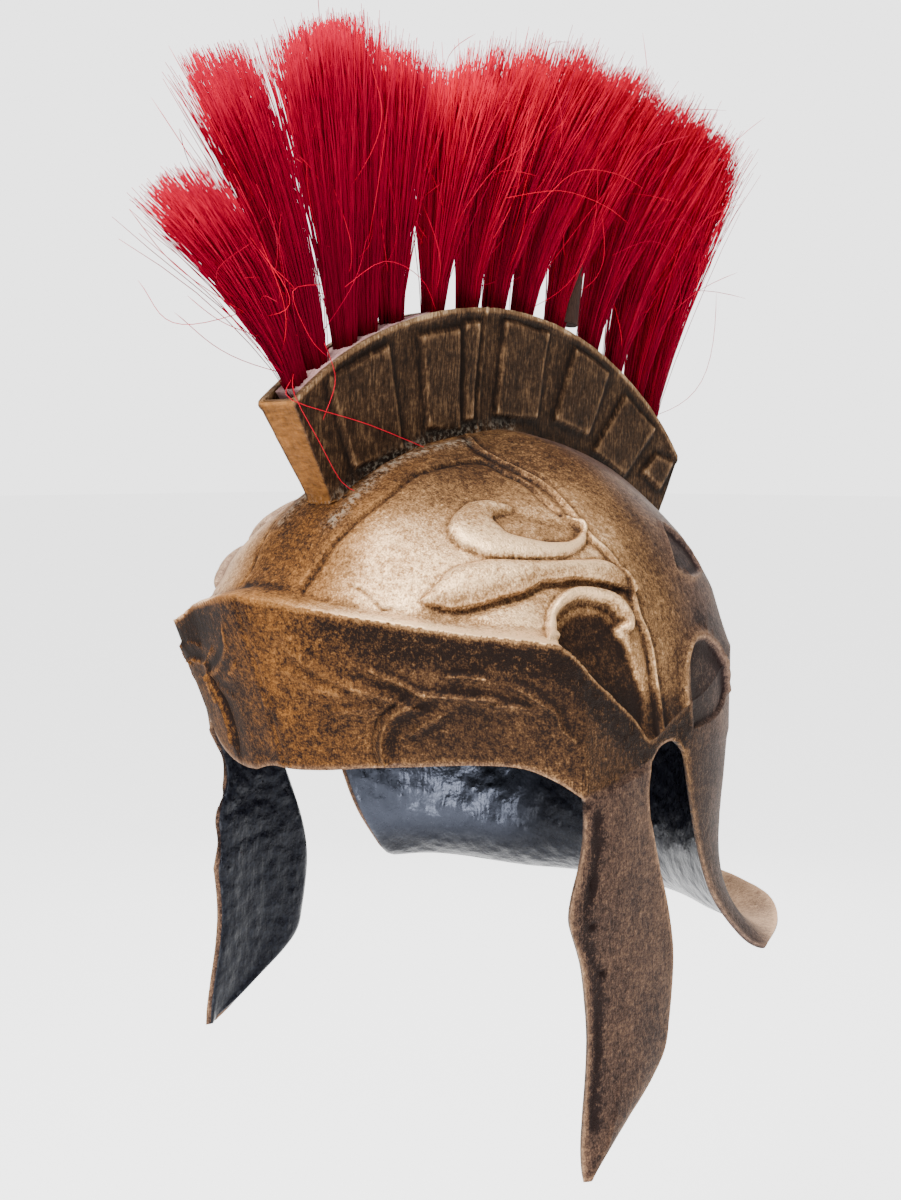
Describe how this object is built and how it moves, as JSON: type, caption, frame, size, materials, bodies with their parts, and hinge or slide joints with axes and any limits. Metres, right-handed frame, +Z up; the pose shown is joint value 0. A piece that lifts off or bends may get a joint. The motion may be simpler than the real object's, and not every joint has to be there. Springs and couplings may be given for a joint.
{
  "type": "roman legionary helmet",
  "caption": "One-piece moulded legionary helmet with brow guard, cheek guards, flared neck guard, raised scroll relief, a crest trough along the crown and an upright red hair plume.",
  "frame": {"origin": "top of the hollow on the middle plane, where the crown rests on the wearer's head", "axes": "+Z up out of the crown, +X towards the wearer's left, -Y towards the front (the brow guard)"},
  "size_m": [0.2042, 0.3161, 0.4105],
  "materials": {
    "shell": "moulded wall with aged bronze paint, half gloss, dark in its recesses",
    "crest": "moulded wall with dark brushed bronze paint",
    "plume": "straight crimson horsehair"
  },
  "bodies": {
    "root": {"helmet_shell": "shell", "crest_box": "crest", "crest_plume": "plume"}
  },
  "joints": []
}
